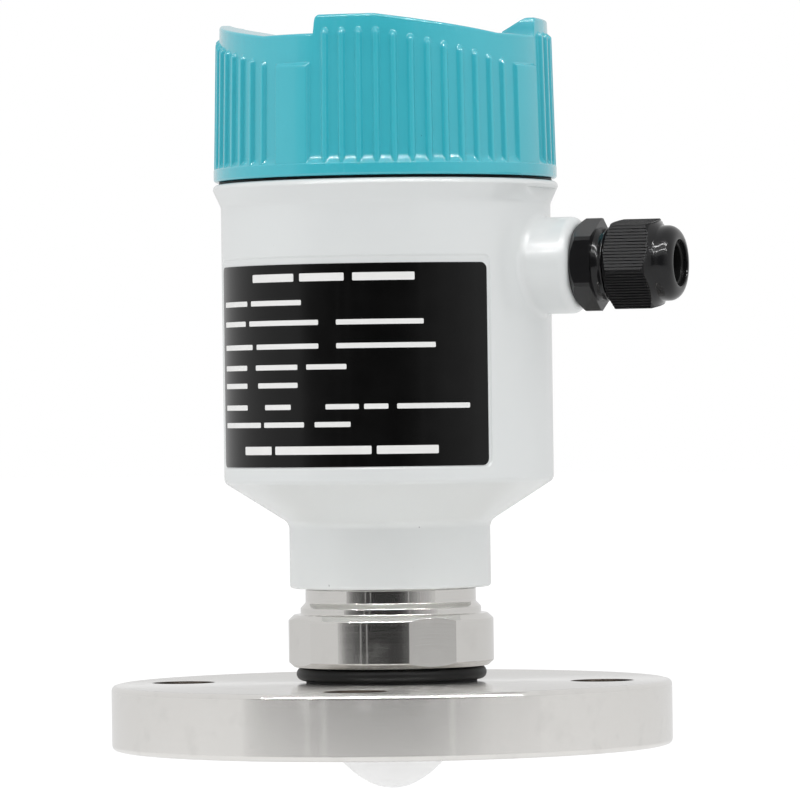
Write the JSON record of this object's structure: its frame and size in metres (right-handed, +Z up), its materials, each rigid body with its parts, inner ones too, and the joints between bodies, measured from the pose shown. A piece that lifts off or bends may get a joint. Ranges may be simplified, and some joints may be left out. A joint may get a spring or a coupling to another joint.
{
  "type": "radar level transmitter",
  "caption": "Flanged radar level transmitter: round housing with a ribbed screw lid, dark nameplate, side cable gland, steel process fitting and a white lens under the flange.",
  "frame": {"origin": "centre of the flange's sealing face, which is the centre of its bolt circle", "axes": "+Z up the antenna's axis towards the lid, +X out along the cable gland, -Y through the middle of the nameplate"},
  "size_m": [0.1735, 0.165, 0.2251],
  "materials": {
    "flange_steel": "turned stainless steel with light stains",
    "polished_steel": "polished stainless steel",
    "screw_steel": "zinc plated steel",
    "black_rubber": "matte",
    "ptfe": "white, satin",
    "horn_aluminium": "turned",
    "board_green": "solder mask",
    "white_paint": "white powder coat, gloss",
    "teal_paint": "teal powder coat, semi-gloss",
    "plate_black": "black foil, semi-gloss",
    "module_plastic": "moulded",
    "terminal_green": "moulded",
    "gland_nylon": "black polyamide, satin",
    "seal_grey": "matte"
  },
  "bodies": {
    "base": {"flange": "flange_steel", "seal_washer": "seal_grey", "flange_seal": "black_rubber", "process_fitting": "polished_steel", "lens": "ptfe", "lens_seal": "black_rubber", "lens_ring": "screw_steel", "feed_horn": "horn_aluminium", "rf_board": "board_green", "board_screws": "screw_steel", "rf_shield": "screw_steel", "signal_lead": "black_rubber", "lead_plug": "module_plastic", "neck_seal": "black_rubber", "swivel_ring": "screw_steel"},
    "housing": {"housing": "white_paint", "nameplate": "plate_black", "lock_screw": "screw_steel", "electronics_module": "module_plastic", "module_screws": "screw_steel", "terminal_block": "terminal_green", "terminal_screws": "screw_steel", "gland_washer": "seal_grey", "gland_body": "gland_nylon"},
    "lid_ring": {"lid_seal": "black_rubber"},
    "lid": {"lid": "teal_paint"},
    "gland_core": {"gland_insert": "seal_grey"},
    "gland_nut": {"gland_nut": "gland_nylon"}
  },
  "joints": [
    {"name": "housing_swivel", "type": "hinge", "parent": "base", "child": "housing", "pos_m": [0, 0, 0.057], "axis": [0, 0, 1], "range_deg": [-165, 165]},
    {"name": "lid_lift", "type": "slide", "parent": "housing", "child": "lid_ring", "axis": [0, 0, 1], "range_m": [0, 0.012]},
    {"name": "lid_turn", "type": "hinge", "parent": "lid_ring", "child": "lid", "pos_m": [0, 0, 0.1667], "axis": [0, 0, 1], "range_deg": [0, 1440]},
    {"name": "gland_nut_travel", "type": "slide", "parent": "housing", "child": "gland_core", "axis": [1, 0, 0], "range_m": [0, 0.0075]},
    {"name": "gland_nut_turn", "type": "hinge", "parent": "gland_core", "child": "gland_nut", "pos_m": [0.07, 0, 0.1404], "axis": [1, 0, 0], "range_deg": [0, 1800]}
  ],
  "couplings": [
    {"joint": "lid_lift", "follows": "lid_turn", "m_per_rad": 0.00047746},
    {"joint": "gland_nut_travel", "follows": "gland_nut_turn", "m_per_rad": 0.00023873}
  ]
}
